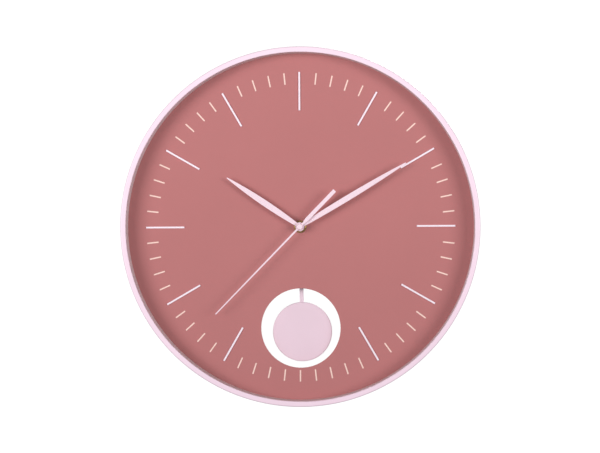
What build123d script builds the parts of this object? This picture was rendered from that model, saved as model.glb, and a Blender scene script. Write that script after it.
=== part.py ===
from build123d import *
from math import atan2, cos, hypot, pi, radians, sin
import os

# Battery wall clock with a pendulum behind a window in its dial. Millimetres.
# +Z up, +X to the viewer's right, the front faces -Y and the wall is the plane y = 0.
# The origin is the hands' axis at the wall. "Depth" below is the distance in front of the wall.

os.makedirs("parts", exist_ok=True)

# ---- Case ----
CASE_R = 200.0            # outside of the case
CASE_DEPTH = 44.0         # wall to the front of the rim
CASE_WALL = 2.0
RIM_INNER_R = 194.0       # the opening that the rim leaves
RIM_THICKNESS = 2.0
LENS_R = 197.4
LENS_THICKNESS = 2.0
FLANGE_THICKNESS = 4.0    # flat part of the back ring
FLANGE_INNER_R = 165.0
RIB_R = 187.5             # rib of the back ring that presses on the dial
RIB_WALL = 2.5
SCREW_CIRCLE_R = 193.5
SCREW_COUNT = 6
SCREW_SHANK_R = 1.4

# ---- Dial ----
DIAL_R = 197.5
DIAL_BACK = 23.0
DIAL_THICKNESS = 1.0
DIAL_FRONT = DIAL_BACK + DIAL_THICKNESS
WINDOW_R = 44.5           # round opening that shows the pendulum
WINDOW_Z = -113.7
BAR_LENGTH = 43.0
BAR_WIDTH = 2.0
BAR_HEIGHT = 1.4
BAR_OUTER_R = 173.3

# ---- Hanger ----
HANGER_Z = 178.0          # round part of the keyhole
KEYHOLE_R = 4.5
KEYHOLE_SLOT = 4.5
KEYHOLE_TOP = 188.0
PLATE_BACK = 0.3
PLATE_THICKNESS = 1.2

# ---- Hands ----
HOUR_ANGLE = 304.1        # degrees clockwise from 12, seen from the front
MINUTE_ANGLE = 59.3
SECOND_ANGLE = 224.3
HAND_THICKNESS = 0.6
HOUR_DEPTH = 31.0
MINUTE_DEPTH = 33.9
SECOND_DEPTH = 37.0

# ---- Movement ----
MOVEMENT_WIDTH = 56.0
MOVEMENT_TOP = 28.5
MOVEMENT_BOTTOM = -66.0
MOVEMENT_WALL = 1.5
COVER_DEPTH = 5.0         # rear face of the back cover
SHELL_REAR = COVER_DEPTH + MOVEMENT_WALL
SHELL_FRONT = 21.8
INNER_FRONT = SHELL_FRONT - MOVEMENT_WALL
PIVOT_CLEARANCE = 0.05
PIVOT_DEPTH = 1.0

BUSH_R = 4.0              # M8 bush that clamps the movement to the dial
BUSH_BORE_R = 2.65
HOUR_PIPE_R, HOUR_BORE_R = 2.55, 1.85
MINUTE_PIPE_R, MINUTE_BORE_R = 1.75, 0.6
SECOND_ARBOR_R = 0.5
WHEEL_ARBOR_R = 0.35
SETTING_ARBOR_R = 0.5
SETTING_STEM_R = 1.5

# ---- Gear train: (teeth, module) of each toothed wheel ----
ROTOR_PINION = (12, 0.2)
INTERMEDIATE_WHEEL = (60, 0.2)
INTERMEDIATE_PINION = (10, 0.25)
SECOND_WHEEL = (60, 0.25)
THIRD_AXIS_R = 8.64       # distance of the third wheel from the hands' axis
SECOND_PINION = (8, 2 * THIRD_AXIS_R / 68)
THIRD_WHEEL = (60, 2 * THIRD_AXIS_R / 68)
THIRD_PINION = (8, 0.24)
MINUTE_WHEEL = (64, 0.24)
SETTING_AXIS_R = 8.7
MINUTE_PINION = (12, 2 * SETTING_AXIS_R / 48)
SETTING_WHEEL = (36, 2 * SETTING_AXIS_R / 48)
SETTING_PINION = (10, 2 * SETTING_AXIS_R / 50)
HOUR_WHEEL = (40, 2 * SETTING_AXIS_R / 50)
ADDENDUM, DEDENDUM = 0.75, 1.1          # in modules
TIP_HALF_WIDTH, ROOT_HALF_WIDTH = 0.12, 0.30   # in tooth spacings

HANDS_AXIS = (0.0, 0.0)
INTERMEDIATE_AXIS = (-8.75, 0.0)
ROTOR_AXIS = (-8.75 + 7.2 * cos(radians(225)), 7.2 * sin(radians(225)))
THIRD_AXIS = (0.0, -THIRD_AXIS_R)
SETTING_AXIS = (SETTING_AXIS_R, 0.0)

# ---- Pendulum ----
REST_SWING = 1.05         # degrees; at rest the bob is caught this far to the viewer's right of plumb
PIVOT_Z = -45.0
PIVOT_PIN_R = 1.0
MAGNET_DROP = 10.5        # drops are measured along the pendulum from its pivot
PEG_DROP = 20.0
BOB_DROP = 73.6
COIL_Z = PIVOT_Z - MAGNET_DROP
MAGNET_R = 3.5
BOB_R = 33.3
BOB_BACK = 9.0
BOB_DEPTH = 5.0
BOB_WALL = 1.6
ROD_WIDTH = 4.5
ROD_BACK = 11.0
ROD_THICKNESS = 0.8


def front(depth):
    """Plane parallel to the wall, depth mm in front of it: x to the right, y up, z to the viewer."""
    return Plane.XZ.offset(depth)


def clockwise(depth, angle):
    """The same plane turned clockwise, so that its y axis points at that angle from 12."""
    turn = radians(angle)
    return Plane(origin=(0, -depth, 0), x_dir=(cos(turn), 0, -sin(turn)), z_dir=(0, -1, 0))


def hanging(depth):
    """The same plane with its origin at the pendulum's pivot and its y axis along the pendulum."""
    swing = radians(REST_SWING)
    return Plane(origin=(0, -depth, PIVOT_Z), x_dir=(cos(swing), 0, sin(swing)), z_dir=(0, -1, 0))


def meshing(phase, teeth, other_teeth, axis, other_axis):
    """Angle of a tooth of the other gear that puts it in mesh with a gear whose tooth stands at phase."""
    line = atan2(other_axis[1] - axis[1], other_axis[0] - axis[0])
    return line + pi + (pi - (phase - line) * teeth) / other_teeth


def gear_outline(gear, phase, axis):
    """Corners of a toothed outline round an axis, with one tooth centred on phase."""
    teeth, module = gear
    root_r = module * (teeth / 2 - DEDENDUM)
    tip_r = module * (teeth / 2 + ADDENDUM)
    corners = []
    for tooth in range(teeth):
        for radius, half_width in (
            (root_r, -ROOT_HALF_WIDTH),
            (tip_r, -TIP_HALF_WIDTH),
            (tip_r, TIP_HALF_WIDTH),
            (root_r, ROOT_HALF_WIDTH),
        ):
            angle = phase + (tooth + half_width) * 2 * pi / teeth
            corners.append((axis[0] + radius * cos(angle), axis[1] + radius * sin(angle)))
    return corners


def toothed(gear, phase, axis, depth, width):
    """A toothed disc between two depths."""
    with BuildPart() as disc:
        with BuildSketch(front(depth)):
            with BuildLine():
                Polyline(*gear_outline(gear, phase, axis), close=True)
            make_face()
        extrude(amount=width)
    return disc.part


def cross_screw(head_r, head_height, shank_r, length, head_depth, tip_r=None):
    """A screw that points at the viewer, its head's rear face at head_depth, with a cross recess."""
    with BuildPart() as screw:
        with BuildSketch(front(head_depth)):
            Circle(head_r)
        if tip_r is None:
            extrude(amount=head_height)
        else:
            with BuildSketch(front(head_depth + head_height)):
                Circle(tip_r)
            loft()
        with BuildSketch(front(head_depth + head_height)):
            Circle(shank_r)
        extrude(amount=length)
        with BuildSketch(front(head_depth)):
            Rectangle(head_r * 1.1, head_r * 0.26)
            Rectangle(head_r * 0.26, head_r * 1.1)
        extrude(amount=head_height * 0.6, mode=Mode.SUBTRACT)
    return screw.part


# Every gear's phase follows from the second wheel's, so that each pair is in mesh at rest.
SECOND_PHASE = 0.0
INTERMEDIATE_PHASE = meshing(SECOND_PHASE, 60, 10, HANDS_AXIS, INTERMEDIATE_AXIS)
ROTOR_PHASE = meshing(INTERMEDIATE_PHASE, 60, 12, INTERMEDIATE_AXIS, ROTOR_AXIS)
THIRD_PHASE = meshing(SECOND_PHASE, 8, 60, HANDS_AXIS, THIRD_AXIS)
MINUTE_PHASE = meshing(THIRD_PHASE, 8, 64, THIRD_AXIS, HANDS_AXIS)
SETTING_PHASE = meshing(MINUTE_PHASE, 12, 36, HANDS_AXIS, SETTING_AXIS)
HOUR_PHASE = meshing(SETTING_PHASE, 10, 40, SETTING_AXIS, HANDS_AXIS)


# ================= Case =================

# Deep ring with a turned-in front rim and six screw bosses at its rear edge
BOSS_R = 4.0
BOSS_LENGTH = 17.0
with BuildPart() as case_ring:
    with BuildSketch(Plane.XY):
        with BuildLine():
            Polyline(
                (CASE_R - CASE_WALL, -FLANGE_THICKNESS),
                (CASE_R, -FLANGE_THICKNESS),
                (CASE_R, -CASE_DEPTH),
                (RIM_INNER_R, -CASE_DEPTH),
                (RIM_INNER_R, -CASE_DEPTH + RIM_THICKNESS),
                (CASE_R - CASE_WALL, -CASE_DEPTH + RIM_THICKNESS),
                close=True,
            )
        make_face()
    revolve(axis=Axis.Y)
    rim_edges = case_ring.edges().filter_by(GeomType.CIRCLE).group_by(Axis.Y)[0].sort_by(SortBy.RADIUS)
    fillet(rim_edges[-1], radius=1.6)
    rim_edges = case_ring.edges().filter_by(GeomType.CIRCLE).group_by(Axis.Y)[0].sort_by(SortBy.RADIUS)
    fillet(rim_edges[0], radius=0.8)
    with BuildSketch(front(FLANGE_THICKNESS)):
        with PolarLocations(SCREW_CIRCLE_R, SCREW_COUNT):
            Circle(BOSS_R)
        with PolarLocations(SCREW_CIRCLE_R + 2.7, SCREW_COUNT):
            Rectangle(5.4, 2 * BOSS_R)
        with PolarLocations(SCREW_CIRCLE_R, SCREW_COUNT):
            Circle(SCREW_SHANK_R, mode=Mode.SUBTRACT)
    extrude(amount=BOSS_LENGTH)
case_ring.part.label = "case_ring"
export_step(case_ring.part, "parts/case_ring.step")

# Flat glass behind the rim
LENS_FRONT = CASE_DEPTH - RIM_THICKNESS
with BuildPart() as lens:
    with BuildSketch(front(LENS_FRONT - LENS_THICKNESS)):
        Circle(LENS_R)
    extrude(amount=LENS_THICKNESS)
    chamfer(lens.edges(), length=0.3)
lens.part.label = "lens"
export_step(lens.part, "parts/lens.step")

# Spacer between lens and dial: a straight wall with a foot at each end
SPACER_R = 197.6
SPACER_WALL = 1.6
SPACER_FOOT = 1.6
SPACER_FRONT = LENS_FRONT - LENS_THICKNESS
with BuildPart() as spacer_ring:
    with BuildSketch(Plane.XY):
        with BuildLine():
            Polyline(
                (RIM_INNER_R, -DIAL_FRONT),
                (SPACER_R, -DIAL_FRONT),
                (SPACER_R, -DIAL_FRONT - SPACER_FOOT),
                (RIM_INNER_R + SPACER_WALL, -DIAL_FRONT - SPACER_FOOT),
                (RIM_INNER_R + SPACER_WALL, -SPACER_FRONT + SPACER_FOOT),
                (SPACER_R, -SPACER_FRONT + SPACER_FOOT),
                (SPACER_R, -SPACER_FRONT),
                (RIM_INNER_R, -SPACER_FRONT),
                close=True,
            )
        make_face()
    revolve(axis=Axis.Y)
spacer_ring.part.label = "spacer_ring"
export_step(spacer_ring.part, "parts/spacer_ring.step")

# Dial with the hole for the bush and the pendulum's window
with BuildPart() as dial:
    with BuildSketch(front(DIAL_BACK)):
        Circle(DIAL_R)
        Circle(BUSH_R + 0.1, mode=Mode.SUBTRACT)
        with Locations((0, WINDOW_Z)):
            Circle(WINDOW_R, mode=Mode.SUBTRACT)
    extrude(amount=DIAL_THICKNESS)
dial.part.label = "dial"
export_step(dial.part, "parts/dial.step")

# Eleven applied bars, from 5 o'clock round to 7 o'clock; the window takes the place of the twelfth
with BuildPart() as hour_bars:
    with BuildSketch(front(DIAL_FRONT)):
        with PolarLocations(BAR_OUTER_R - BAR_LENGTH / 2, 11, start_angle=-60, angular_range=300, endpoint=True):
            Rectangle(BAR_LENGTH, BAR_WIDTH)
    extrude(amount=BAR_HEIGHT)
    chamfer(hour_bars.faces().group_by(Axis.Y)[0].edges(), length=0.25)
hour_bars.part.label = "hour_bars"
export_step(hour_bars.part, "parts/hour_bars.step")

# Back ring: flat flange against the wall, a rib that presses the dial against the spacer,
# and a pocket at the top for the hanger plate and the wall screw's head
POCKET_HALF_WIDTH = 9.0
POCKET_BOTTOM, POCKET_TOP = 171.0, 193.0
PLATE_WIDTH, PLATE_HEIGHT, PLATE_Z = 46.0, 24.0, 182.0
PLATE_SCREW_X = 16.0
REAR = Plane(origin=(0, 0, 0), x_dir=(1, 0, 0), z_dir=(0, 1, 0))
with BuildPart() as back_ring:
    with BuildSketch(front(0)):
        Circle(CASE_R)
        Circle(FLANGE_INNER_R, mode=Mode.SUBTRACT)
    extrude(amount=FLANGE_THICKNESS)
    with BuildSketch(front(FLANGE_THICKNESS)):
        Circle(RIB_R)
        Circle(RIB_R - RIB_WALL, mode=Mode.SUBTRACT)
    extrude(amount=DIAL_BACK - FLANGE_THICKNESS)
    with BuildSketch(front(FLANGE_THICKNESS)):
        with Locations((-PLATE_SCREW_X, PLATE_Z), (PLATE_SCREW_X, PLATE_Z)):
            Circle(3.5)
    extrude(amount=5)
    with BuildSketch(front(0)):
        with Locations((0, PLATE_Z)):
            RectangleRounded(PLATE_WIDTH + 1, PLATE_HEIGHT + 1, 3)
    extrude(amount=PLATE_BACK + PLATE_THICKNESS, mode=Mode.SUBTRACT)
    with BuildSketch(front(0)):
        with Locations((0, (POCKET_BOTTOM + POCKET_TOP) / 2)):
            Rectangle(2 * POCKET_HALF_WIDTH, POCKET_TOP - POCKET_BOTTOM)
    extrude(amount=12, mode=Mode.SUBTRACT)
    with BuildSketch(front(0)):
        with Locations((-PLATE_SCREW_X, PLATE_Z), (PLATE_SCREW_X, PLATE_Z)):
            Circle(SCREW_SHANK_R)
    extrude(amount=8, mode=Mode.SUBTRACT)
    with Locations(REAR):
        with PolarLocations(SCREW_CIRCLE_R, SCREW_COUNT):
            CounterBoreHole(SCREW_SHANK_R + 0.2, counter_bore_radius=3.2, counter_bore_depth=2.2,
                            depth=FLANGE_THICKNESS)
back_ring.part.label = "back_ring"
export_step(back_ring.part, "parts/back_ring.step")

# Six pan-head screws, sunk in the back ring, that hold it to the case's bosses
case_screw = cross_screw(2.9, 1.8, SCREW_SHANK_R, 13.0, head_depth=0.4)
with BuildPart() as case_screws:
    for step in range(SCREW_COUNT):
        turn = step * 2 * pi / SCREW_COUNT
        with Locations((SCREW_CIRCLE_R * cos(turn), 0, SCREW_CIRCLE_R * sin(turn))):
            add(case_screw)
case_screws.part.label = "case_screws"
export_step(case_screws.part, "parts/case_screws.step")

# Steel hanger plate with a keyhole: the screw's head goes through the round part and hangs in the slot
COUNTERSINK_R = 2.8
with BuildPart() as hanger_plate:
    with BuildSketch(front(PLATE_BACK)):
        with Locations((0, PLATE_Z)):
            RectangleRounded(PLATE_WIDTH, PLATE_HEIGHT, 3)
        with Locations((0, HANGER_Z)):
            Circle(KEYHOLE_R, mode=Mode.SUBTRACT)
        with Locations((0, (HANGER_Z + KEYHOLE_TOP - KEYHOLE_SLOT / 2) / 2)):
            Rectangle(KEYHOLE_SLOT, KEYHOLE_TOP - KEYHOLE_SLOT / 2 - HANGER_Z, mode=Mode.SUBTRACT)
        with Locations((0, KEYHOLE_TOP - KEYHOLE_SLOT / 2)):
            Circle(KEYHOLE_SLOT / 2, mode=Mode.SUBTRACT)
    extrude(amount=PLATE_THICKNESS)
    with Locations(REAR.offset(-PLATE_BACK)):
        with Locations((-PLATE_SCREW_X, -PLATE_Z), (PLATE_SCREW_X, -PLATE_Z)):
            CounterSinkHole(SCREW_SHANK_R, counter_sink_radius=COUNTERSINK_R, depth=PLATE_THICKNESS)
hanger_plate.part.label = "hanger_plate"
export_step(hanger_plate.part, "parts/hanger_plate.step")

# Two countersunk screws through the hanger plate
hanger_screw = cross_screw(
    COUNTERSINK_R, COUNTERSINK_R - SCREW_SHANK_R - 0.21, SCREW_SHANK_R, 6.0,
    head_depth=PLATE_BACK, tip_r=SCREW_SHANK_R,
)
with BuildPart() as hanger_screws:
    with Locations((-PLATE_SCREW_X, 0, PLATE_Z), (PLATE_SCREW_X, 0, PLATE_Z)):
        add(hanger_screw)
hanger_screws.part.label = "hanger_screws"
export_step(hanger_screws.part, "parts/hanger_screws.step")


# ================= Movement housing =================

MOVEMENT_HEIGHT = MOVEMENT_TOP - MOVEMENT_BOTTOM
MOVEMENT_Z = (MOVEMENT_TOP + MOVEMENT_BOTTOM) / 2
INNER_HALF_WIDTH = MOVEMENT_WIDTH / 2 - MOVEMENT_WALL
POST_POINTS = ((-24.0, 8.4), (24.0, 8.4), (-24.0, -61.0), (24.0, -61.0))
POST_R, POST_SCREW_R = 2.2, 0.9
BATTERY_Z = 19.6
BATTERY_R = 7.1
BOARD_Z = -25.0
BOARD_DEPTH = 12.0
BOARD_THICKNESS = 1.0
BOARD_POSTS = ((-6.0, BOARD_Z), (20.0, BOARD_Z))
STATOR_DEPTH = 11.2
STATOR_THICKNESS = 1.2
STATOR_POSTS = ((-14.0, -18.3), (-14.0, 2.3))
# Wheel axes with the radius of the pivot that turns there
PIVOTS = (
    (ROTOR_AXIS, WHEEL_ARBOR_R),
    (INTERMEDIATE_AXIS, WHEEL_ARBOR_R),
    (THIRD_AXIS, WHEEL_ARBOR_R),
)

# Front half: an open box with posts for the screws, the board, the stator and the drive coil,
# a shelf under the battery, and blind holes for the wheels' pivots
with BuildPart() as movement_front_case:
    with BuildSketch(front(SHELL_REAR)):
        with Locations((0, MOVEMENT_Z)):
            RectangleRounded(MOVEMENT_WIDTH, MOVEMENT_HEIGHT, 3)
            RectangleRounded(MOVEMENT_WIDTH - 2 * MOVEMENT_WALL, MOVEMENT_HEIGHT - 2 * MOVEMENT_WALL, 1.5,
                             mode=Mode.SUBTRACT)
        with Locations((0, BATTERY_Z - BATTERY_R - 0.8)):
            Rectangle(2 * INNER_HALF_WIDTH + 1, 1)
        with Locations(*POST_POINTS):
            Circle(POST_R)
    extrude(amount=INNER_FRONT - SHELL_REAR)
    with BuildSketch(front(INNER_FRONT)):
        with Locations((0, MOVEMENT_Z)):
            RectangleRounded(MOVEMENT_WIDTH, MOVEMENT_HEIGHT, 3)
        Circle(BUSH_R, mode=Mode.SUBTRACT)
    extrude(amount=MOVEMENT_WALL)
    with BuildSketch(front(BOARD_DEPTH + BOARD_THICKNESS)):
        with Locations(*BOARD_POSTS):
            Circle(1.5)
        with Locations(*STATOR_POSTS):
            Circle(1.3)
    extrude(until=Until.NEXT)
    with BuildSketch(front(14.2)):
        with Locations((0, COIL_Z)):
            Circle(1.2)
        with Locations((0, PIVOT_Z)):
            Circle(2.5)
    extrude(until=Until.NEXT)
    with BuildSketch(front(SHELL_REAR)):
        with Locations(*POST_POINTS):
            Circle(POST_SCREW_R)
    extrude(amount=9, mode=Mode.SUBTRACT)
    with BuildSketch(front(14.2)):
        with Locations((0, PIVOT_Z)):
            Circle(PIVOT_PIN_R)
    extrude(amount=5, mode=Mode.SUBTRACT)
    with BuildSketch(front(INNER_FRONT)):
        for axis, pivot_r in PIVOTS + ((SETTING_AXIS, SETTING_ARBOR_R),):
            with Locations(axis):
                Circle(pivot_r + PIVOT_CLEARANCE)
    extrude(amount=PIVOT_DEPTH, mode=Mode.SUBTRACT)
    with BuildSketch(Plane.XY.offset(MOVEMENT_BOTTOM)):
        with Locations((0, -10.75)):
            Rectangle(18, 5.5)
    extrude(amount=MOVEMENT_WALL, mode=Mode.SUBTRACT)
movement_front_case.part.label = "movement_front_case"
export_step(movement_front_case.part, "parts/movement_front_case.step")

# Back cover: battery opening, holes for the setting stem, the pendulum's pin and the four screws
with BuildPart() as movement_back_cover:
    with BuildSketch(front(COVER_DEPTH)):
        with Locations((0, MOVEMENT_Z)):
            RectangleRounded(MOVEMENT_WIDTH, MOVEMENT_HEIGHT, 3)
        with Locations((0, BATTERY_Z)):
            Rectangle(2 * INNER_HALF_WIDTH, 2 * BATTERY_R + 0.4, mode=Mode.SUBTRACT)
        with Locations(SETTING_AXIS):
            Circle(SETTING_STEM_R + PIVOT_CLEARANCE, mode=Mode.SUBTRACT)
        with Locations((0, PIVOT_Z)):
            Circle(PIVOT_PIN_R, mode=Mode.SUBTRACT)
        with Locations(*POST_POINTS):
            Circle(POST_SCREW_R, mode=Mode.SUBTRACT)
    extrude(amount=MOVEMENT_WALL)
    with BuildSketch(front(SHELL_REAR)):
        for axis, pivot_r in PIVOTS + ((HANDS_AXIS, SECOND_ARBOR_R),):
            with Locations(axis):
                Circle(pivot_r + PIVOT_CLEARANCE)
    extrude(amount=-PIVOT_DEPTH, mode=Mode.SUBTRACT)
movement_back_cover.part.label = "movement_back_cover"
export_step(movement_back_cover.part, "parts/movement_back_cover.step")

# Four screws that hold the cover to the front half
movement_screw = cross_screw(1.9, 1.0, POST_SCREW_R, 9.0, head_depth=COVER_DEPTH - 1.0)
with BuildPart() as movement_screws:
    with Locations(*[(x, 0, z) for x, z in POST_POINTS]):
        add(movement_screw)
movement_screws.part.label = "movement_screws"
export_step(movement_screws.part, "parts/movement_screws.step")

# Flanged bush through the front half and the dial
BUSH_FRONT = 29.0
with BuildPart() as threaded_bush:
    with BuildSketch(front(INNER_FRONT - 1.0)):
        Circle(6.0)
        Circle(BUSH_BORE_R, mode=Mode.SUBTRACT)
    extrude(amount=1.0)
    with BuildSketch(front(INNER_FRONT)):
        Circle(BUSH_R)
        Circle(BUSH_BORE_R, mode=Mode.SUBTRACT)
    extrude(amount=BUSH_FRONT - INNER_FRONT)
threaded_bush.part.label = "threaded_bush"
export_step(threaded_bush.part, "parts/threaded_bush.step")

# Rubber washer between the movement and the dial
with BuildPart() as rubber_washer:
    with BuildSketch(front(SHELL_FRONT)):
        Circle(11.0)
        Circle(BUSH_R, mode=Mode.SUBTRACT)
    extrude(amount=DIAL_BACK - SHELL_FRONT)
rubber_washer.part.label = "rubber_washer"
export_step(rubber_washer.part, "parts/rubber_washer.step")

# Brass washer in front of the dial
NUT_WASHER_THICKNESS = 0.5
with BuildPart() as nut_washer:
    with BuildSketch(front(DIAL_FRONT)):
        Circle(7.0)
        Circle(BUSH_R, mode=Mode.SUBTRACT)
    extrude(amount=NUT_WASHER_THICKNESS)
nut_washer.part.label = "nut_washer"
export_step(nut_washer.part, "parts/nut_washer.step")

# Hexagonal brass nut, 12 mm across its flats, corners turned off at the front
NUT_BACK = DIAL_FRONT + NUT_WASHER_THICKNESS
NUT_HEIGHT = 2.5
with BuildPart() as centre_nut:
    with BuildSketch(front(NUT_BACK)):
        RegularPolygon(6.0, 6, major_radius=False)
    extrude(amount=NUT_HEIGHT)
    with BuildSketch(Plane.XY):
        with BuildLine():
            Polyline(
                (0, -NUT_BACK),
                (7.0, -NUT_BACK),
                (7.0, -NUT_BACK - NUT_HEIGHT + 0.6),
                (6.0, -NUT_BACK - NUT_HEIGHT),
                (0, -NUT_BACK - NUT_HEIGHT),
                close=True,
            )
        make_face()
    revolve(axis=Axis.Y, mode=Mode.INTERSECT)
    with BuildSketch(front(NUT_BACK)):
        Circle(BUSH_R)
    extrude(amount=NUT_HEIGHT, mode=Mode.SUBTRACT)
centre_nut.part.label = "centre_nut"
export_step(centre_nut.part, "parts/centre_nut.step")


# ================= Electrics =================

# Circuit board on its two posts
with BuildPart() as circuit_board:
    with BuildSketch(front(BOARD_DEPTH)):
        with Locations((7, BOARD_Z)):
            RectangleRounded(34, 10, 1)
    extrude(amount=BOARD_THICKNESS)
circuit_board.part.label = "circuit_board"
export_step(circuit_board.part, "parts/circuit_board.step")

# Resin drop over the chip, on the board's rear face
CHIP_R = 3.0
with BuildPart() as clock_chip:
    with BuildSketch(front(BOARD_DEPTH)):
        with Locations((6, BOARD_Z)):
            Circle(CHIP_R)
    extrude(amount=-1.2)
    fillet(clock_chip.edges().group_by(Axis.Y)[-1], radius=1.0)
clock_chip.part.label = "clock_chip"
export_step(clock_chip.part, "parts/clock_chip.step")

# Quartz crystal in its can, lying on the board's rear face
CRYSTAL_R = 1.0
with BuildPart() as quartz_crystal:
    with BuildSketch(Plane(origin=(11, -BOARD_DEPTH + CRYSTAL_R, BOARD_Z), x_dir=(0, 1, 0), z_dir=(1, 0, 0))):
        Circle(CRYSTAL_R)
    extrude(amount=6)
    fillet(quartz_crystal.edges().group_by(Axis.X)[-1], radius=0.3)
quartz_crystal.part.label = "quartz_crystal"
export_step(quartz_crystal.part, "parts/quartz_crystal.step")

# AA battery lying across the movement, its button end to +X
BATTERY_DEPTH = 12.9
BATTERY_LEFT = -25.0
BATTERY_BODY = 49.2
with BuildPart() as battery:
    with BuildSketch(Plane(origin=(BATTERY_LEFT, -BATTERY_DEPTH, BATTERY_Z), x_dir=(0, 1, 0), z_dir=(1, 0, 0))):
        Circle(BATTERY_R)
    extrude(amount=BATTERY_BODY)
    fillet(battery.edges().filter_by(GeomType.CIRCLE), radius=0.5)
    with BuildSketch(Plane(origin=(BATTERY_LEFT + BATTERY_BODY, -BATTERY_DEPTH, BATTERY_Z), x_dir=(0, 1, 0),
                           z_dir=(1, 0, 0))):
        Circle(2.7)
    extrude(amount=1.3)
battery.part.label = "battery"
export_step(battery.part, "parts/battery.step")

# Flat spring contacts at the battery's two ends
CONTACT_THICKNESS = 0.35
CONTACT_HALF_HEIGHT = 5.5


def contact(wall_x, battery_x, label):
    """Leaf bent towards the battery in the middle; its ends lie on the bay's end wall."""
    inward = 1 if battery_x > wall_x else -1
    leaf = inward * CONTACT_THICKNESS
    with BuildPart() as strip:
        with BuildSketch(Plane.XZ.offset(BATTERY_DEPTH - 3.5)):
            with BuildLine():
                Polyline(
                    (wall_x, BATTERY_Z - CONTACT_HALF_HEIGHT),
                    (wall_x, BATTERY_Z - CONTACT_HALF_HEIGHT + 2),
                    (battery_x - leaf, BATTERY_Z - 1.5),
                    (battery_x - leaf, BATTERY_Z + 1.5),
                    (wall_x, BATTERY_Z + CONTACT_HALF_HEIGHT - 2),
                    (wall_x, BATTERY_Z + CONTACT_HALF_HEIGHT),
                    (wall_x + leaf, BATTERY_Z + CONTACT_HALF_HEIGHT),
                    (wall_x + leaf, BATTERY_Z + CONTACT_HALF_HEIGHT - 2),
                    (battery_x, BATTERY_Z + 1.5),
                    (battery_x, BATTERY_Z - 1.5),
                    (wall_x + leaf, BATTERY_Z - CONTACT_HALF_HEIGHT + 2),
                    (wall_x + leaf, BATTERY_Z - CONTACT_HALF_HEIGHT),
                    close=True,
                )
            make_face()
        extrude(amount=7)
    strip.part.label = label
    return strip.part


contact_minus = contact(-INNER_HALF_WIDTH, BATTERY_LEFT, "contact_minus")
export_step(contact_minus, "parts/contact_minus.step")
contact_plus = contact(INNER_HALF_WIDTH, BATTERY_LEFT + BATTERY_BODY + 1.3, "contact_plus")
export_step(contact_plus, "parts/contact_plus.step")

# Stator: a plate with the rotor's hole, and a leg through the motor coil
STATOR_BOTTOM, STATOR_TOP = -20.0, 4.0
LEG_X = -21.5
LEG_WIDTH = 3.0
with BuildPart() as stator:
    with BuildSketch(front(STATOR_DEPTH)):
        with Locations(((-23.0 - 9.9) / 2, (STATOR_BOTTOM + STATOR_TOP) / 2)):
            Rectangle(13.1, STATOR_TOP - STATOR_BOTTOM)
        with Locations((-19.0, (STATOR_BOTTOM + STATOR_TOP) / 2)):
            Rectangle(2.0, STATOR_TOP - STATOR_BOTTOM - 6.4, mode=Mode.SUBTRACT)
        with Locations(ROTOR_AXIS):
            Circle(3.4, mode=Mode.SUBTRACT)
    extrude(amount=STATOR_THICKNESS)
stator.part.label = "stator"
export_step(stator.part, "parts/stator.step")

# Motor coil: a bobbin round the stator's leg and its copper winding
MOTOR_COIL_DEPTH = STATOR_DEPTH + STATOR_THICKNESS / 2
MOTOR_COIL_BOTTOM, MOTOR_COIL_TOP = -16.6, 0.6
BOBBIN_FLANGE = 0.8
with BuildPart() as motor_bobbin:
    with BuildSketch(Plane.XY.offset(MOTOR_COIL_BOTTOM)):
        with Locations((LEG_X, -MOTOR_COIL_DEPTH)):
            RectangleRounded(6.8, 7, 1)
    extrude(amount=BOBBIN_FLANGE)
    with BuildSketch(Plane.XY.offset(MOTOR_COIL_TOP - BOBBIN_FLANGE)):
        with Locations((LEG_X, -MOTOR_COIL_DEPTH)):
            RectangleRounded(6.8, 7, 1)
    extrude(amount=BOBBIN_FLANGE)
    with BuildSketch(Plane.XY.offset(MOTOR_COIL_BOTTOM)):
        with Locations((LEG_X, -MOTOR_COIL_DEPTH)):
            Rectangle(LEG_WIDTH + 1, STATOR_THICKNESS + 1)
    extrude(amount=MOTOR_COIL_TOP - MOTOR_COIL_BOTTOM)
    with BuildSketch(Plane.XY.offset(MOTOR_COIL_BOTTOM)):
        with Locations((LEG_X, -MOTOR_COIL_DEPTH)):
            Rectangle(LEG_WIDTH, STATOR_THICKNESS)
    extrude(amount=MOTOR_COIL_TOP - MOTOR_COIL_BOTTOM, mode=Mode.SUBTRACT)
motor_bobbin.part.label = "motor_bobbin"
export_step(motor_bobbin.part, "parts/motor_bobbin.step")

with BuildPart() as motor_winding:
    with BuildSketch(Plane.XY.offset(MOTOR_COIL_BOTTOM + BOBBIN_FLANGE)):
        with Locations((LEG_X, -MOTOR_COIL_DEPTH)):
            RectangleRounded(6.0, 6.0, 1.8)
            Rectangle(LEG_WIDTH + 1, STATOR_THICKNESS + 1, mode=Mode.SUBTRACT)
    extrude(amount=MOTOR_COIL_TOP - MOTOR_COIL_BOTTOM - 2 * BOBBIN_FLANGE)
motor_winding.part.label = "motor_winding"
export_step(motor_winding.part, "parts/motor_winding.step")

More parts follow.
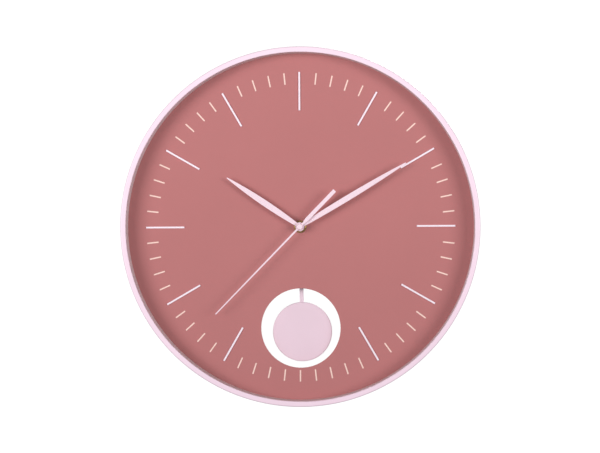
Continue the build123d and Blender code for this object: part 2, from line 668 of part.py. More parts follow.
# Drive coil in front of the pendulum's magnet: a flat bobbin on a post, and its winding
DRIVE_BACK, DRIVE_FRONT = 14.2, INNER_FRONT
DRIVE_FLANGE = 0.7
with BuildPart() as drive_bobbin:
    with BuildSketch(front(DRIVE_BACK)):
        with Locations((0, COIL_Z)):
            Circle(6.5)
    extrude(amount=DRIVE_FLANGE)
    with BuildSketch(front(DRIVE_FRONT - DRIVE_FLANGE)):
        with Locations((0, COIL_Z)):
            Circle(6.5)
    extrude(amount=DRIVE_FLANGE)
    with BuildSketch(front(DRIVE_BACK)):
        with Locations((0, COIL_Z)):
            Circle(2.2)
    extrude(amount=DRIVE_FRONT - DRIVE_BACK)
    with BuildSketch(front(DRIVE_BACK)):
        with Locations((0, COIL_Z)):
            Circle(1.2)
    extrude(amount=DRIVE_FRONT - DRIVE_BACK, mode=Mode.SUBTRACT)
drive_bobbin.part.label = "drive_bobbin"
export_step(drive_bobbin.part, "parts/drive_bobbin.step")

with BuildPart() as drive_winding:
    with BuildSketch(front(DRIVE_BACK + DRIVE_FLANGE)):
        with Locations((0, COIL_Z)):
            Circle(6.0)
            Circle(2.2, mode=Mode.SUBTRACT)
    extrude(amount=DRIVE_FRONT - DRIVE_BACK - 2 * DRIVE_FLANGE)
drive_winding.part.label = "drive_winding"
export_step(drive_winding.part, "parts/drive_winding.step")


# ================= Gear train =================

ARBOR_BACK = SHELL_REAR - PIVOT_DEPTH + 0.1
ARBOR_FRONT = INNER_FRONT + PIVOT_DEPTH - 0.1

# Rotor: pinion and arbor in one, with the magnet pressed on inside the stator's hole
with BuildPart() as rotor_pinion:
    add(toothed(ROTOR_PINION, ROTOR_PHASE, ROTOR_AXIS, 8.2, 1.2))
    with BuildSketch(front(9.4)):
        with Locations(ROTOR_AXIS):
            Circle(0.8)
    extrude(amount=1.2)
    with BuildSketch(front(ARBOR_BACK)):
        with Locations(ROTOR_AXIS):
            Circle(WHEEL_ARBOR_R)
    extrude(amount=ARBOR_FRONT - ARBOR_BACK)
rotor_pinion.part.label = "rotor_pinion"
export_step(rotor_pinion.part, "parts/rotor_pinion.step")

with BuildPart() as rotor_magnet:
    with BuildSketch(front(10.6)):
        with Locations(ROTOR_AXIS):
            Circle(3.0)
            Circle(WHEEL_ARBOR_R, mode=Mode.SUBTRACT)
    extrude(amount=2.4)
rotor_magnet.part.label = "rotor_magnet"
export_step(rotor_magnet.part, "parts/rotor_magnet.step")

# Intermediate wheel, its pinion and arbor
with BuildPart() as intermediate_wheel:
    add(toothed(INTERMEDIATE_WHEEL, INTERMEDIATE_PHASE, INTERMEDIATE_AXIS, 8.4, 0.8))
    add(toothed(INTERMEDIATE_PINION, INTERMEDIATE_PHASE, INTERMEDIATE_AXIS, 9.2, 1.8))
    with BuildSketch(front(ARBOR_BACK)):
        with Locations(INTERMEDIATE_AXIS):
            Circle(WHEEL_ARBOR_R)
    extrude(amount=ARBOR_FRONT - ARBOR_BACK)
intermediate_wheel.part.label = "intermediate_wheel"
export_step(intermediate_wheel.part, "parts/intermediate_wheel.step")

# Second wheel with its pinion, pressed on the steel arbor that carries the second hand
ARBOR_TIP = 38.4
with BuildPart() as second_wheel:
    add(toothed(SECOND_WHEEL, SECOND_PHASE, HANDS_AXIS, 10.2, 0.8))
    add(toothed(SECOND_PINION, SECOND_PHASE, HANDS_AXIS, 11.0, 2.2))
    with BuildSketch(front(10.2)):
        Circle(SECOND_ARBOR_R)
    extrude(amount=3.0, mode=Mode.SUBTRACT)
second_wheel.part.label = "second_wheel"
export_step(second_wheel.part, "parts/second_wheel.step")

with BuildPart() as second_arbor:
    with BuildSketch(front(ARBOR_BACK)):
        Circle(SECOND_ARBOR_R)
    extrude(amount=ARBOR_TIP - ARBOR_BACK)
second_arbor.part.label = "second_arbor"
export_step(second_arbor.part, "parts/second_arbor.step")

# Third wheel, its pinion and arbor
with BuildPart() as third_wheel:
    add(toothed(THIRD_WHEEL, THIRD_PHASE, THIRD_AXIS, 12.0, 1.0))
    add(toothed(THIRD_PINION, THIRD_PHASE, THIRD_AXIS, 13.0, 2.2))
    with BuildSketch(front(ARBOR_BACK)):
        with Locations(THIRD_AXIS):
            Circle(WHEEL_ARBOR_R)
    extrude(amount=ARBOR_FRONT - ARBOR_BACK)
third_wheel.part.label = "third_wheel"
export_step(third_wheel.part, "parts/third_wheel.step")

# Minute wheel, its pinion and the pipe that carries the minute hand
MINUTE_PIPE_FRONT = 35.0
with BuildPart() as minute_wheel:
    add(toothed(MINUTE_WHEEL, MINUTE_PHASE, HANDS_AXIS, 14.0, 1.0))
    add(toothed(MINUTE_PINION, MINUTE_PHASE, HANDS_AXIS, 15.8, 1.4))
    with BuildSketch(front(14.0)):
        Circle(MINUTE_PIPE_R)
    extrude(amount=MINUTE_PIPE_FRONT - 14.0)
    with BuildSketch(front(14.0)):
        Circle(MINUTE_BORE_R)
    extrude(amount=MINUTE_PIPE_FRONT - 14.0, mode=Mode.SUBTRACT)
minute_wheel.part.label = "minute_wheel"
export_step(minute_wheel.part, "parts/minute_wheel.step")

# Setting wheel, its pinion, and the stem that passes out through the back cover
STEM_BACK = COVER_DEPTH - 0.6
with BuildPart() as setting_wheel:
    add(toothed(SETTING_WHEEL, SETTING_PHASE, SETTING_AXIS, 16.0, 1.0))
    add(toothed(SETTING_PINION, SETTING_PHASE, SETTING_AXIS, 17.0, 2.2))
    with BuildSketch(front(STEM_BACK)):
        with Locations(SETTING_AXIS):
            Circle(SETTING_ARBOR_R)
    extrude(amount=ARBOR_FRONT - STEM_BACK)
    with BuildSketch(front(STEM_BACK)):
        with Locations(SETTING_AXIS):
            Circle(SETTING_STEM_R)
    extrude(amount=4)
setting_wheel.part.label = "setting_wheel"
export_step(setting_wheel.part, "parts/setting_wheel.step")

# Fluted knob on the setting stem
KNOB_BACK = 1.6
KNOB_R = 5.5
with BuildPart() as setting_knob:
    with BuildSketch(front(KNOB_BACK)):
        with Locations(SETTING_AXIS):
            Circle(KNOB_R)
            with PolarLocations(KNOB_R + 0.35, 18):
                Circle(0.7, mode=Mode.SUBTRACT)
    extrude(amount=STEM_BACK - KNOB_BACK)
    chamfer(setting_knob.edges().group_by(Axis.Y)[-1], length=0.3)
setting_knob.part.label = "setting_knob"
export_step(setting_knob.part, "parts/setting_knob.step")

# Hour wheel and the pipe that carries the hour hand
HOUR_PIPE_FRONT = 32.3
with BuildPart() as hour_wheel:
    add(toothed(HOUR_WHEEL, HOUR_PHASE, HANDS_AXIS, 17.8, 1.2))
    with BuildSketch(front(17.8)):
        Circle(HOUR_PIPE_R)
    extrude(amount=HOUR_PIPE_FRONT - 17.8)
    with BuildSketch(front(17.8)):
        Circle(HOUR_BORE_R)
    extrude(amount=HOUR_PIPE_FRONT - 17.8, mode=Mode.SUBTRACT)
hour_wheel.part.label = "hour_wheel"
export_step(hour_wheel.part, "parts/hour_wheel.step")


# ================= Hands =================


def blade(depth, angle, hub_r, bore_r, collet_r, widths):
    """Leaf-shaped hand. widths are three (half width, distance) points of its edge, the last at the tip."""
    near, widest, tip = widths
    with BuildPart() as hand:
        with BuildSketch(clockwise(depth, angle)):
            with BuildLine():
                right = ThreePointArc(near, widest, tip)
                left = ThreePointArc((-tip[0], tip[1]), (-widest[0], widest[1]), (-near[0], near[1]))
                Line(right @ 1, left @ 0)
                Line(left @ 1, right @ 0)
            make_face()
            Circle(hub_r)
            Circle(bore_r, mode=Mode.SUBTRACT)
        extrude(amount=HAND_THICKNESS)
        with BuildSketch(clockwise(depth, angle)):
            Circle(collet_r)
            Circle(bore_r, mode=Mode.SUBTRACT)
        extrude(amount=-1.0)
    return hand.part


hour_hand = blade(HOUR_DEPTH, HOUR_ANGLE, 5.0, HOUR_PIPE_R, 3.5, ((1.85, 4.0), (3.4, 43.0), (0.5, 98.4)))
hour_hand.label = "hour_hand"
export_step(hour_hand, "parts/hour_hand.step")

minute_hand = blade(MINUTE_DEPTH, MINUTE_ANGLE, 4.6, MINUTE_PIPE_R, 2.7, ((1.95, 4.0), (3.1, 64.0), (0.6, 137.6)))
minute_hand.label = "minute_hand"
export_step(minute_hand, "parts/minute_hand.step")

# Second hand: a tapering needle and a broad square-ended counterweight
NEEDLE_LENGTH, TAIL_LENGTH = 136.0, 56.0
NEEDLE_HALF_WIDTH, NEEDLE_TIP_HALF_WIDTH, TAIL_HALF_WIDTH = 1.0, 0.6, 2.08
with BuildPart() as second_hand:
    with BuildSketch(clockwise(SECOND_DEPTH, SECOND_ANGLE)):
        with BuildLine():
            Polyline(
                (NEEDLE_HALF_WIDTH, 0),
                (NEEDLE_TIP_HALF_WIDTH, NEEDLE_LENGTH - 1),
                (0, NEEDLE_LENGTH),
                (-NEEDLE_TIP_HALF_WIDTH, NEEDLE_LENGTH - 1),
                (-NEEDLE_HALF_WIDTH, 0),
                (-NEEDLE_HALF_WIDTH, -6),
                (-TAIL_HALF_WIDTH, -11),
                (-TAIL_HALF_WIDTH, -TAIL_LENGTH),
                (TAIL_HALF_WIDTH, -TAIL_LENGTH),
                (TAIL_HALF_WIDTH, -11),
                (NEEDLE_HALF_WIDTH, -6),
                close=True,
            )
        make_face()
        Circle(3.0)
        Circle(SECOND_ARBOR_R, mode=Mode.SUBTRACT)
    extrude(amount=HAND_THICKNESS - 0.1)
second_hand.part.label = "second_hand"
export_step(second_hand.part, "parts/second_hand.step")

# Domed cap in front of the second hand, pressed on the arbor
CAP_BACK = SECOND_DEPTH + HAND_THICKNESS - 0.1
CAP_HEIGHT = 1.8
with BuildPart() as second_hand_cap:
    with BuildSketch(front(CAP_BACK)):
        Circle(3.25)
    extrude(amount=CAP_HEIGHT)
    fillet(second_hand_cap.edges().group_by(Axis.Y)[0], radius=1.0)
    with BuildSketch(front(CAP_BACK)):
        Circle(SECOND_ARBOR_R)
    extrude(amount=ARBOR_TIP - CAP_BACK, mode=Mode.SUBTRACT)
second_hand_cap.part.label = "second_hand_cap"
export_step(second_hand_cap.part, "parts/second_hand_cap.step")


# ================= Pendulum =================

# Steel pin from the back cover to the boss on the front half
with BuildPart() as pivot_pin:
    with BuildSketch(front(COVER_DEPTH)):
        with Locations((0, PIVOT_Z)):
            Circle(PIVOT_PIN_R)
    extrude(amount=14.2)
pivot_pin.part.label = "pivot_pin"
export_step(pivot_pin.part, "parts/pivot_pin.step")

# Hanger: hub on the pin, a ring for the magnet, and a thinner tail with the peg for the rod
HANGER_BACK, HANGER_FRONT = 9.6, 12.0
TAIL_TOP, TAIL_BOTTOM = MAGNET_DROP + 4.0, PEG_DROP + 3.0
with BuildPart() as pendulum_hanger:
    with BuildSketch(hanging(HANGER_BACK)):
        Circle(2.8)
        with Locations((0, -MAGNET_DROP)):
            Circle(5.0)
        with Locations((0, -MAGNET_DROP / 2)):
            Rectangle(4.0, MAGNET_DROP)
        Circle(PIVOT_PIN_R + PIVOT_CLEARANCE, mode=Mode.SUBTRACT)
        with Locations((0, -MAGNET_DROP)):
            Circle(MAGNET_R, mode=Mode.SUBTRACT)
    extrude(amount=HANGER_FRONT - HANGER_BACK)
    with BuildSketch(hanging(HANGER_BACK)):
        with Locations((0, -(TAIL_TOP + TAIL_BOTTOM) / 2)):
            RectangleRounded(ROD_WIDTH, TAIL_BOTTOM - TAIL_TOP, 1)
    extrude(amount=ROD_BACK - HANGER_BACK)
    with BuildSketch(hanging(ROD_BACK)):
        with Locations((0, -PEG_DROP)):
            Circle(1.0)
    extrude(amount=1.6)
pendulum_hanger.part.label = "pendulum_hanger"
export_step(pendulum_hanger.part, "parts/pendulum_hanger.step")

with BuildPart() as pendulum_magnet:
    with BuildSketch(hanging(HANGER_BACK)):
        with Locations((0, -MAGNET_DROP)):
            Circle(MAGNET_R)
    extrude(amount=3.0)
pendulum_magnet.part.label = "pendulum_magnet"
export_step(pendulum_magnet.part, "parts/pendulum_magnet.step")

# Flat strip that hangs on the hanger's peg
ROD_TOP, ROD_BOTTOM = 17.4, 96.0
with BuildPart() as pendulum_rod:
    with BuildSketch(hanging(ROD_BACK)):
        with Locations((0, -(ROD_TOP + ROD_BOTTOM) / 2)):
            RectangleRounded(ROD_WIDTH, ROD_BOTTOM - ROD_TOP, 1.5)
        with Locations((0, -PEG_DROP)):
            Circle(1.0, mode=Mode.SUBTRACT)
    extrude(amount=ROD_THICKNESS)
pendulum_rod.part.label = "pendulum_rod"
export_step(pendulum_rod.part, "parts/pendulum_rod.step")

# Bob: a shallow dish with a soft front edge, open at the back, notched for the rod
with BuildPart() as pendulum_bob:
    with BuildSketch(hanging(BOB_BACK)):
        with Locations((0, -BOB_DROP)):
            Circle(BOB_R)
    extrude(amount=BOB_DEPTH)
    fillet(pendulum_bob.edges().group_by(Axis.Y)[0], radius=1.0)
    with BuildSketch(hanging(BOB_BACK)):
        with Locations((0, -BOB_DROP)):
            Circle(BOB_R - BOB_WALL)
    extrude(amount=BOB_DEPTH - BOB_WALL, mode=Mode.SUBTRACT)
    with BuildSketch(hanging(BOB_BACK)):
        with Locations((0, -BOB_DROP + BOB_R - BOB_WALL / 2)):
            Rectangle(ROD_WIDTH + 0.5, BOB_WALL + 1.4)
    extrude(amount=BOB_DEPTH - BOB_WALL, mode=Mode.SUBTRACT)
pendulum_bob.part.label = "pendulum_bob"
export_step(pendulum_bob.part, "parts/pendulum_bob.step")

# Clip that grips the rod inside the bob
with BuildPart() as bob_clip:
    with BuildSketch(hanging(BOB_BACK + 0.4)):
        with Locations((0, -BOB_DROP)):
            RectangleRounded(16, 12, 1.5)
    extrude(amount=BOB_DEPTH - BOB_WALL - 0.4)
    with BuildSketch(hanging(ROD_BACK)):
        with Locations((0, -BOB_DROP)):
            Rectangle(ROD_WIDTH, 13)
    extrude(amount=BOB_DEPTH, mode=Mode.SUBTRACT)
bob_clip.part.label = "bob_clip"
export_step(bob_clip.part, "parts/bob_clip.step")
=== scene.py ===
from math import cos, pi, radians, sin

import bmesh
import bpy
from mathutils import Matrix, Vector


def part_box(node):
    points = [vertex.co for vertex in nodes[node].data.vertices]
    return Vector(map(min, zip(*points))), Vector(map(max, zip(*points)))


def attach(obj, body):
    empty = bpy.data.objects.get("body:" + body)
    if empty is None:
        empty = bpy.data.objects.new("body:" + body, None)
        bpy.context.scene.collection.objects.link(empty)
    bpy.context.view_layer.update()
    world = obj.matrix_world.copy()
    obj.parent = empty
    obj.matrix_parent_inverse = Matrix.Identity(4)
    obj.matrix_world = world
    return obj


# Looks for the pendulum wall clock. Metres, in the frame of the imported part:
# +Z up, +X to the viewer's right, the dial faces -Y and the wall is y = 0.

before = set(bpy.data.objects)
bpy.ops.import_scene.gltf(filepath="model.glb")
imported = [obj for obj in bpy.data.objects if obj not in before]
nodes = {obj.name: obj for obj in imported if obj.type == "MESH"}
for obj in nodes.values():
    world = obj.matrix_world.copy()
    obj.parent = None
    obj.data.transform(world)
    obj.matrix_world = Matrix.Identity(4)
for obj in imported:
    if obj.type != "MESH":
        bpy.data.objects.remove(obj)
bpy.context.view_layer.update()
scene = bpy.context.scene
MM = 0.001

RIM_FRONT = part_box("case_ring")[0].y
DIAL_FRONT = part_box("dial")[0].y

# Printed minute track
MINUTES = 60
MINUTES_PER_BAR = 5
SIX_O_CLOCK = 30                  # in minutes; it has a printed stroke and no applied bar
MARK_INNER_R = 160.4 * MM
MARK_OUTER_R = 173.2 * MM
MARK_WIDTH = 1.5 * MM
TRACK_DROP = 0.5 * MM             # the print sits a little low and is turned against the bars
TRACK_TURN = radians(0.28)
INK_THICKNESS = 0.05 * MM

# Plus and minus moulded on the movement's back cover
SIGN_SIZE = 4.2 * MM
SIGN_STROKE = 0.9 * MM
SIGN_RELIEF = 0.3 * MM
SIGN_DROP = 3.6 * MM              # from the battery's lower edge to the middle of the signs
SIGN_INSET = 8.0 * MM             # from the battery's ends

# The battery's sleeve, in fractions of its length from the flat end
BASE_EDGE = 0.012                 # bare steel before this
BAND_EDGE = 0.70                  # copper-coloured band after this
BUTTON_EDGE = 0.968               # bare steel after this

# The lens is a thin reflecting film: how strongly it shows face on and at a glancing angle
FILM_FACE_ON = 0.04
FILM_GLANCING = 0.75
FILM_POWER = 4.0                  # the higher, the nearer to a glancing angle the film starts to show

# Camera, aimed near the middle of the rim's front
CAMERA_DISTANCE = 1.776           # from the wall
CAMERA_AZIMUTH = radians(2.3)
CAMERA_ELEVATION = radians(0.4)
CAMERA_ROLL = radians(-0.37)
TARGET_X = 0.55 * MM
TARGET_Z = 0.33 * MM
SENSOR_WIDTH = 36.0
IMAGE_WIDTH = 600
PIXELS_PER_METRE = 902.5          # at the rim's front
CLIP_START = 0.01

# Studio
FLOOR_Z = -1.2
FLOOR_HALF = 2.5


# ================= Small tools =================


def linear(red, green, blue):
    """Scene-linear colour from 0-255 display values."""
    def channel(value):
        value /= 255.0
        return value / 12.92 if value <= 0.04045 else ((value + 0.055) / 1.055) ** 2.4
    return (channel(red), channel(green), channel(blue), 1.0)


def shaded(colour, factor):
    """The colour made lighter or darker, with no part over 1."""
    return tuple(min(1.0, part * factor) for part in colour[:3]) + (1.0,)


class Surface:
    """A material under construction: a Principled shader and the nodes that feed it."""

    def __init__(self, name, roughness=0.5, metallic=0.0, **constants):
        self.material = bpy.data.materials.new(name)
        self.material.use_nodes = True
        self.tree = self.material.node_tree
        self.shader = self.tree.nodes["Principled BSDF"]
        self.shader.inputs["Roughness"].default_value = roughness
        self.shader.inputs["Metallic"].default_value = metallic
        for socket, value in constants.items():
            self.shader.inputs[socket.replace("_", " ")].default_value = value
        self.coordinates = self.node("ShaderNodeTexCoord").outputs["Object"]
        self.normal = None

    def node(self, kind, **inputs):
        made = self.tree.nodes.new(kind)
        for socket, value in inputs.items():
            self.connect(made.inputs[socket.replace("_", " ")], value)
        return made

    def connect(self, socket, value):
        if isinstance(value, bpy.types.NodeSocket):
            self.tree.links.new(value, socket)
        else:
            socket.default_value = value

    def noise(self, size, detail=3.0, stretch=(1, 1, 1), distortion=0.0):
        """Noise with features about size metres across, stretched along the axes."""
        scale = tuple(1 / factor for factor in stretch)
        mapping = self.node("ShaderNodeMapping", Vector=self.coordinates, Scale=scale)
        return self.node(
            "ShaderNodeTexNoise", Vector=mapping.outputs["Vector"], Scale=1 / size, Detail=detail,
            Distortion=distortion,
        ).outputs["Fac"]

    def span(self, value, low, high, from_low=0.3, from_high=0.7):
        """The value rescaled from its usual span to low..high."""
        return self.node(
            "ShaderNodeMapRange", Value=value, From_Min=from_low, From_Max=from_high, To_Min=low, To_Max=high,
        ).outputs["Result"]

    def math(self, operation, value, number):
        made = self.node("ShaderNodeMath")
        made.operation = operation
        self.connect(made.inputs[0], value)
        made.inputs[1].default_value = number
        return made.outputs[0]

    def mix(self, factor, first, second):
        made = self.node("ShaderNodeMix")
        made.data_type = "RGBA"
        self.connect(made.inputs["Factor"], factor)
        colours = [socket for socket in made.inputs if socket.type == "RGBA"]
        self.connect(colours[0], first)
        self.connect(colours[1], second)
        return [socket for socket in made.outputs if socket.type == "RGBA"][0]

    def blend(self, value, first, second, high=1):
        """A colour that runs from first towards second as the value rises over its usual span."""
        return self.mix(self.span(value, 0, high), first, second)

    def colour(self, value):
        self.connect(self.shader.inputs["Base Color"], value)

    def roughness(self, value, low, high):
        """Roughness that runs from low to high as the value rises over its usual span."""
        self.connect(self.shader.inputs["Roughness"], self.span(value, low, high))

    def bump(self, height, distance, strength=1.0):
        """Adds relief of the given depth in metres."""
        made = self.node("ShaderNodeBump", Height=height, Distance=distance, Strength=strength)
        if self.normal is not None:
            self.tree.links.new(self.normal, made.inputs["Normal"])
        self.normal = made.outputs["Normal"]
        self.connect(self.shader.inputs["Normal"], self.normal)


def give(material, *names):
    """Puts a material on CAD nodes."""
    for name in names:
        mesh = nodes[name].data
        mesh.materials.clear()
        mesh.materials.append(material)


def new_piece(name, mesh_builder, material, body):
    """A new object whose mesh is filled in by mesh_builder, in the part's frame, riding on a body."""
    shape = bmesh.new()
    mesh_builder(shape)
    bmesh.ops.recalc_face_normals(shape, faces=shape.faces)
    mesh = bpy.data.meshes.new(name)
    shape.to_mesh(mesh)
    shape.free()
    mesh.materials.append(material)
    piece = bpy.data.objects.new(name, mesh)
    scene.collection.objects.link(piece)
    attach(piece, body)
    return piece


# ================= Materials =================


def satin_paint(name, colour, roughness=0.42, peel_depth=0.004 * MM, variation=0.02):
    """Sprayed satin lacquer: faint cloudiness, fine orange peel, a thin coat."""
    paint = Surface(name, Coat_Weight=0.15, Coat_Roughness=0.25)
    clouds = paint.noise(40 * MM, detail=4)
    paint.colour(paint.blend(clouds, shaded(colour, 1 - variation), shaded(colour, 1 + variation)))
    paint.roughness(paint.noise(9 * MM, detail=5), roughness - 0.05, roughness + 0.05)
    paint.bump(paint.noise(0.9 * MM, detail=3), peel_depth)
    return paint.material


def dial_paint():
    """Matte dusty pink, sprayed on sheet metal."""
    paint = Surface("dial_matte_pink", Specular_IOR_Level=0.25)
    colour = linear(187, 117, 117)
    clouds = paint.noise(70 * MM, detail=5)
    grain = paint.noise(0.5 * MM, detail=2)
    base = paint.blend(clouds, shaded(colour, 0.985), shaded(colour, 1.015))
    paint.colour(paint.blend(grain, base, shaded(colour, 0.93), high=0.25))
    paint.roughness(paint.noise(6 * MM, detail=4), 0.62, 0.74)
    paint.bump(grain, 0.006 * MM)
    return paint.material


def ink():
    """Cream screen-printed ink with a slightly uneven film."""
    print_film = Surface("cream_ink", Specular_IOR_Level=0.3)
    film = print_film.noise(1.2 * MM, detail=4)
    print_film.colour(print_film.blend(film, linear(251, 222, 211), linear(247, 211, 200)))
    print_film.roughness(film, 0.5, 0.65)
    print_film.bump(film, 0.004 * MM)
    return print_film.material


def moulded(name, colour, roughness=0.5, grain_size=0.5 * MM, grain_depth=0.012 * MM, variation=0.04):
    """Injection-moulded plastic with a spark-eroded grain; the board and the chip take a coarser one."""
    plastic = Surface(name)
    flow = plastic.noise(18 * MM, detail=3, stretch=(1, 1, 3))
    plastic.colour(plastic.blend(flow, shaded(colour, 1 - variation), shaded(colour, 1 + variation)))
    plastic.roughness(plastic.noise(4 * MM, detail=4), roughness - 0.08, roughness + 0.08)
    plastic.bump(plastic.noise(grain_size, detail=4), grain_depth)
    return plastic.material


def metal(name, colour, roughness=0.3, brush=(1, 1, 14), grain_depth=0.004 * MM, spots=0.12):
    """Rolled or turned metal: lines drawn out along the brush's long axes, and cloudy roughness."""
    surface = Surface(name, metallic=1.0)
    lines = surface.noise(0.35 * MM, detail=3, stretch=brush)
    clouds = surface.noise(7 * MM, detail=5)
    surface.colour(surface.blend(clouds, shaded(colour, 1 - spots), colour))
    surface.roughness(clouds, roughness - 0.07, roughness + 0.1)
    surface.bump(lines, grain_depth)
    return surface.material


def lens_glass():
    """Clear glass: a film nearly invisible face on, mirror-like at a glancing angle, with faint smears."""
    glass = Surface("clear_glass", roughness=0.02, metallic=1.0)
    smears = glass.noise(60 * MM, detail=6, distortion=0.6)
    glass.colour(glass.blend(smears, (0.90, 0.95, 0.93, 1), (0.95, 0.97, 0.96, 1)))
    glass.roughness(smears, 0.01, 0.05)
    facing = glass.node("ShaderNodeLayerWeight", Blend=0.5).outputs["Facing"]
    rise = glass.math("POWER", facing, FILM_POWER)
    glass.connect(glass.shader.inputs["Alpha"], glass.span(rise, FILM_FACE_ON, FILM_GLANCING, 0.0, 1.0))
    return glass.material


def rubber():
    """Moulded black rubber."""
    surface = Surface("black_rubber")
    grain = surface.noise(0.6 * MM, detail=4)
    surface.colour(surface.blend(grain, linear(22, 22, 23), linear(34, 33, 34)))
    surface.roughness(grain, 0.7, 0.85)
    surface.bump(grain, 0.03 * MM)
    return surface.material


def copper_winding(name, along):
    """Enamelled copper wire: fine turns that follow one another along the winding's axis."""
    surface = Surface(name, metallic=0.85)
    wave = surface.node(
        "ShaderNodeTexWave", Vector=surface.coordinates, Scale=1 / (0.5 * MM), Distortion=0.6, Detail=1.0,
    )
    wave.bands_direction = along
    turns = wave.outputs["Fac"]
    surface.colour(surface.mix(turns, linear(122, 58, 26), linear(214, 126, 72)))
    surface.roughness(surface.noise(2 * MM), 0.28, 0.42)
    surface.bump(turns, 0.08 * MM)
    return surface.material


def battery_sleeve():
    """Printed sleeve: a dark barrel with a copper-coloured band at the button end, steel at both ends."""
    low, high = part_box("battery")
    sleeve = Surface("battery_sleeve", Coat_Weight=0.4, Coat_Roughness=0.15)
    place = sleeve.node("ShaderNodeSeparateXYZ", Vector=sleeve.coordinates).outputs["X"]

    def beyond(edge):
        return sleeve.math("GREATER_THAN", place, low.x + edge * (high.x - low.x))

    scuffs = sleeve.span(sleeve.noise(3 * MM, detail=6), 0, 1)
    barrel = sleeve.mix(scuffs, linear(32, 34, 38), linear(44, 46, 50))
    band = sleeve.mix(scuffs, linear(184, 116, 66), linear(198, 130, 78))
    steel = sleeve.mix(scuffs, linear(176, 178, 182), linear(200, 201, 204))
    body = sleeve.mix(beyond(BAND_EDGE), barrel, band)
    with_button = sleeve.mix(beyond(BUTTON_EDGE), body, steel)
    sleeve.colour(sleeve.mix(beyond(BASE_EDGE), steel, with_button))
    sleeve.roughness(sleeve.noise(5 * MM, detail=4), 0.25, 0.4)
    return sleeve.material


rim_paint = satin_paint("case_satin_pink", linear(240, 214, 229))
# The spacer ring is given a greyer, darker copy of the case's pink: painted shade for the deep recess it
# stands in.
spacer_paint_painted_shade = satin_paint("spacer_pink_painted_shade", linear(216, 204, 208), roughness=0.5)
hand_paint = satin_paint("hand_satin_pink", linear(246, 222, 234), roughness=0.45)
bob_paint = satin_paint("bob_satin_pink", linear(237, 211, 225), roughness=0.5)
bar_paint = satin_paint("bar_satin_pink", linear(255, 241, 252), roughness=0.4)
rod_paint = satin_paint("rod_satin_pink", linear(237, 213, 226), roughness=0.5)
back_plastic = moulded("back_moulded_pink", linear(240, 212, 222), roughness=0.58)
black_plastic = moulded("movement_black", linear(30, 30, 32), roughness=0.55, grain_depth=0.02 * MM)
natural_plastic = moulded("acetal_natural", linear(232, 228, 218), roughness=0.42, grain_depth=0.004 * MM)
bobbin_plastic = moulded("bobbin_natural", linear(214, 206, 186), roughness=0.5)
grey_plastic = moulded("hanger_grey", linear(120, 120, 124), roughness=0.5)
board_green = moulded("board_green", linear(34, 96, 56), roughness=0.35, grain_size=1.5 * MM)
resin = moulded("chip_resin", linear(16, 16, 17), roughness=0.2, grain_size=3 * MM)
zinc = metal("zinc_plate", linear(190, 192, 198), roughness=0.34)
hanger_steel = metal("hanger_steel", linear(176, 178, 184), roughness=0.36, brush=(14, 1, 1))
bare_steel = metal("bare_steel", linear(150, 152, 156), roughness=0.3, brush=(1, 14, 1))
nickel = metal("nickel_plate", linear(206, 202, 192), roughness=0.24)
brass = metal("turned_brass", linear(176, 142, 84), roughness=0.36, brush=(6, 1, 6))
magnet_black = metal("magnet_sintered", linear(70, 70, 74), roughness=0.5, brush=(1, 1, 1))

give(rim_paint, "case_ring")
give(spacer_paint_painted_shade, "spacer_ring")
give(lens_glass(), "lens")
give(dial_paint(), "dial")
give(bar_paint, "hour_bars")
give(back_plastic, "back_ring")
give(zinc, "case_screws", "hanger_screws", "movement_screws")
give(hanger_steel, "hanger_plate")
give(black_plastic, "movement_front_case", "movement_back_cover")
give(brass, "threaded_bush", "nut_washer", "centre_nut")
give(rubber(), "rubber_washer")
give(board_green, "circuit_board")
give(resin, "clock_chip")
give(nickel, "quartz_crystal", "contact_minus", "contact_plus")
give(battery_sleeve(), "battery")
give(bare_steel, "stator", "pivot_pin", "second_arbor")
give(bobbin_plastic, "motor_bobbin", "drive_bobbin")
give(copper_winding("motor_wire", "Z"), "motor_winding")
give(copper_winding("drive_wire", "Y"), "drive_winding")
give(
    natural_plastic, "rotor_pinion", "intermediate_wheel", "second_wheel", "third_wheel", "minute_wheel",
    "setting_wheel", "hour_wheel", "setting_knob",
)
give(magnet_black, "rotor_magnet", "pendulum_magnet")
give(hand_paint, "hour_hand", "minute_hand", "second_hand", "second_hand_cap")
give(grey_plastic, "pendulum_hanger", "bob_clip")
give(rod_paint, "pendulum_rod")
give(bob_paint, "pendulum_bob")


# ================= Printed minute track =================


def minute_track(shape):
    """A stroke at every minute that has no applied bar, and one at 6 o'clock."""
    centre = Matrix.Translation((0, DIAL_FRONT - INK_THICKNESS / 2, -TRACK_DROP))
    outward = Matrix.Translation((0, 0, (MARK_INNER_R + MARK_OUTER_R) / 2))
    size = Matrix.Diagonal((MARK_WIDTH, INK_THICKNESS, MARK_OUTER_R - MARK_INNER_R, 1))
    for minute in range(MINUTES):
        if minute % MINUTES_PER_BAR == 0 and minute != SIX_O_CLOCK:
            continue
        turn = Matrix.Rotation(minute * 2 * pi / MINUTES + TRACK_TURN, 4, "Y")
        bmesh.ops.create_cube(shape, size=1.0, matrix=centre @ turn @ outward @ size)


new_piece("minute_marks", minute_track, ink(), "root")


# ================= Moulded battery marks =================


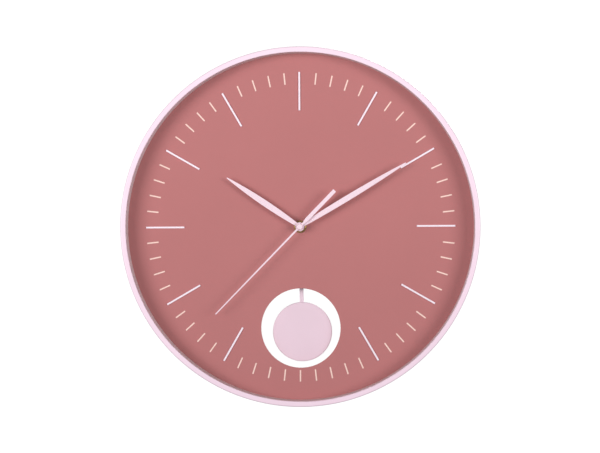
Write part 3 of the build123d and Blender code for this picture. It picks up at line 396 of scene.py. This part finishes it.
def battery_marks(shape):
    """A raised plus and minus on the movement's back cover, under the two ends of the battery."""
    battery_low, battery_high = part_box("battery")
    base_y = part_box("movement_back_cover")[1].y
    sign_z = battery_low.z - SIGN_DROP
    arm, half = SIGN_SIZE / 2, SIGN_STROKE / 2
    minus = [(-arm, -half), (arm, -half), (arm, half), (-arm, half)]
    plus = [
        (-arm, -half), (-half, -half), (-half, -arm), (half, -arm), (half, -half), (arm, -half),
        (arm, half), (half, half), (half, arm), (-half, arm), (-half, half), (-arm, half),
    ]
    for x, outline in ((battery_high.x - SIGN_INSET, plus), (battery_low.x + SIGN_INSET, minus)):
        base, top = (
            [shape.verts.new((x + across, y, sign_z + up)) for across, up in outline]
            for y in (base_y, base_y + SIGN_RELIEF)
        )
        shape.faces.new(base)
        shape.faces.new(top)
        for corner in range(len(outline)):
            shape.faces.new((base[corner - 1], base[corner], top[corner], top[corner - 1]))


new_piece("battery_marks", battery_marks, black_plastic, "root")


# ================= Studio =================


def studio_camera():
    """The photograph's camera; the length of the lens follows from the scale at the rim's front."""
    target = Vector((TARGET_X, RIM_FRONT, TARGET_Z))
    reach = CAMERA_DISTANCE + RIM_FRONT
    data = bpy.data.cameras.new("camera")
    data.sensor_width = SENSOR_WIDTH
    data.lens = SENSOR_WIDTH * PIXELS_PER_METRE * reach / IMAGE_WIDTH
    data.clip_start = CLIP_START
    camera = bpy.data.objects.new("camera", data)
    direction = Vector((
        sin(CAMERA_AZIMUTH) * cos(CAMERA_ELEVATION),
        -cos(CAMERA_AZIMUTH) * cos(CAMERA_ELEVATION),
        sin(CAMERA_ELEVATION),
    ))
    camera.location = target + direction * reach
    aim = (target - camera.location).to_track_quat("-Z", "Y").to_matrix().to_4x4()
    camera.matrix_world = Matrix.Translation(camera.location) @ aim @ Matrix.Rotation(CAMERA_ROLL, 4, "Z")
    scene.collection.objects.link(camera)
    scene.camera = camera


def soft_box(name, place, width, height, power, aim_z=0.0, spread=180):
    """Rectangular lamp aimed at (0, 0, aim_z); spread is the opening of its grid in degrees."""
    data = bpy.data.lights.new(name, "AREA")
    data.shape = "RECTANGLE"
    data.size, data.size_y = width, height
    data.energy = power
    data.spread = radians(spread)
    lamp = bpy.data.objects.new(name, data)
    lamp.location = place
    lamp.rotation_euler = (Vector((0, 0, aim_z)) - lamp.location).to_track_quat("-Z", "Y").to_euler()
    lamp.visible_camera = False
    scene.collection.objects.link(lamp)


def white_world(seen, cast):
    """White surroundings: seen is how bright they look, cast how much light they give."""
    world = bpy.data.worlds.new("surroundings")
    world.use_nodes = True
    tree = world.node_tree
    background = tree.nodes["Background"]
    rays = tree.nodes.new("ShaderNodeLightPath")
    strength = tree.nodes.new("ShaderNodeMapRange")
    strength.inputs["To Min"].default_value = cast
    strength.inputs["To Max"].default_value = seen
    tree.links.new(rays.outputs["Is Camera Ray"], strength.inputs["Value"])
    tree.links.new(strength.outputs["Result"], background.inputs["Strength"])
    background.inputs["Color"].default_value = (1, 1, 1, 1)
    scene.world = world


def pale_floor():
    """A plain pale floor well below the clock, as under a clock on a wall; it throws no light back up."""
    mesh = bpy.data.meshes.new("floor")
    corners = ((-1, -1), (1, -1), (1, 1), (-1, 1))
    mesh.from_pydata([(x * FLOOR_HALF, y * FLOOR_HALF, FLOOR_Z) for x, y in corners], [], [(0, 1, 2, 3)])
    finish = Surface("floor_matte", roughness=0.9)
    finish.colour(finish.blend(finish.noise(0.3, detail=4), (0.86, 0.86, 0.86, 1), (0.88, 0.88, 0.88, 1)))
    mesh.materials.append(finish.material)
    floor = bpy.data.objects.new("floor", mesh)
    floor.visible_diffuse = False
    floor.visible_glossy = False
    scene.collection.objects.link(floor)


scene.view_settings.view_transform = "Standard"
studio_camera()
for side, x, width, power in (("left_box", -1.30, 1.25, 6.5), ("right_box", 1.47, 1.10, 5.6)):
    soft_box(side, (x, -1.55, 0.17), width, height=0.86, power=power, aim_z=0.28, spread=76)
soft_box("back_box", (0.7, 2.0, 1.2), width=1.2, height=1.2, power=45)
soft_box("floor_wash", (0, 0, -0.7), width=6.5, height=6.5, power=98, aim_z=FLOOR_Z)
white_world(seen=1.08, cast=0.222)
pale_floor()
